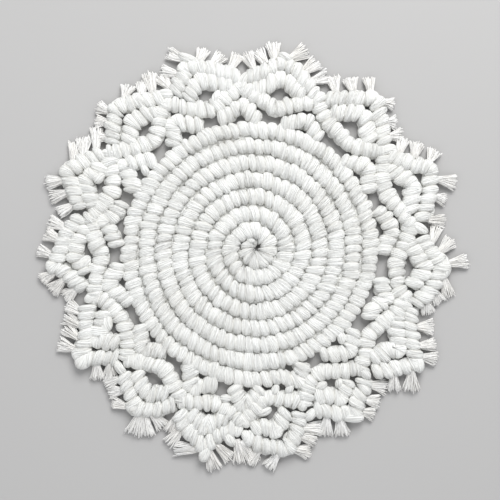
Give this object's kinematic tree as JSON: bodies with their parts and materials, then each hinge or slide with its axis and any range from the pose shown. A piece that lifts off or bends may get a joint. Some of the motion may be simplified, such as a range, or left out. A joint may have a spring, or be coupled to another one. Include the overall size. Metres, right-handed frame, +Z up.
{
  "type": "macrame placemat",
  "caption": "Round knotted cotton placemat: a flat spiral centre, a ring of chevrons, a scalloped edge of diamonds round small eyelets, and a short combed fringe",
  "frame": {"origin": "middle of the mat's outline, on the surface that it lies on", "axes": "+Z up, out of the surface; +X to the right and +Y away, in the mat seen from above as in the picture"},
  "size_m": [0.3011, 0.2959, 0.01],
  "materials": {
    "cotton": "matte undyed single-strand cotton"
  },
  "bodies": {
    "root": {"centre_spiral": "cotton", "chevron_01": "cotton", "chevron_02": "cotton", "chevron_03": "cotton", "chevron_04": "cotton", "chevron_05": "cotton", "chevron_06": "cotton", "chevron_07": "cotton", "chevron_08": "cotton", "chevron_09": "cotton", "chevron_10": "cotton", "chevron_11": "cotton", "chevron_12": "cotton", "chevron_13": "cotton", "chevron_14": "cotton", "diamond_01": "cotton", "diamond_02": "cotton", "diamond_03": "cotton", "diamond_04": "cotton", "diamond_05": "cotton", "diamond_06": "cotton", "diamond_07": "cotton", "diamond_08": "cotton", "diamond_09": "cotton", "diamond_10": "cotton", "diamond_11": "cotton", "diamond_12": "cotton", "diamond_13": "cotton", "diamond_14": "cotton", "fringe_01": "cotton", "fringe_02": "cotton", "fringe_03": "cotton", "fringe_04": "cotton", "fringe_05": "cotton", "fringe_06": "cotton", "fringe_07": "cotton", "fringe_08": "cotton", "fringe_09": "cotton", "fringe_10": "cotton", "fringe_11": "cotton", "fringe_12": "cotton", "fringe_13": "cotton", "fringe_14": "cotton"}
  },
  "joints": []
}
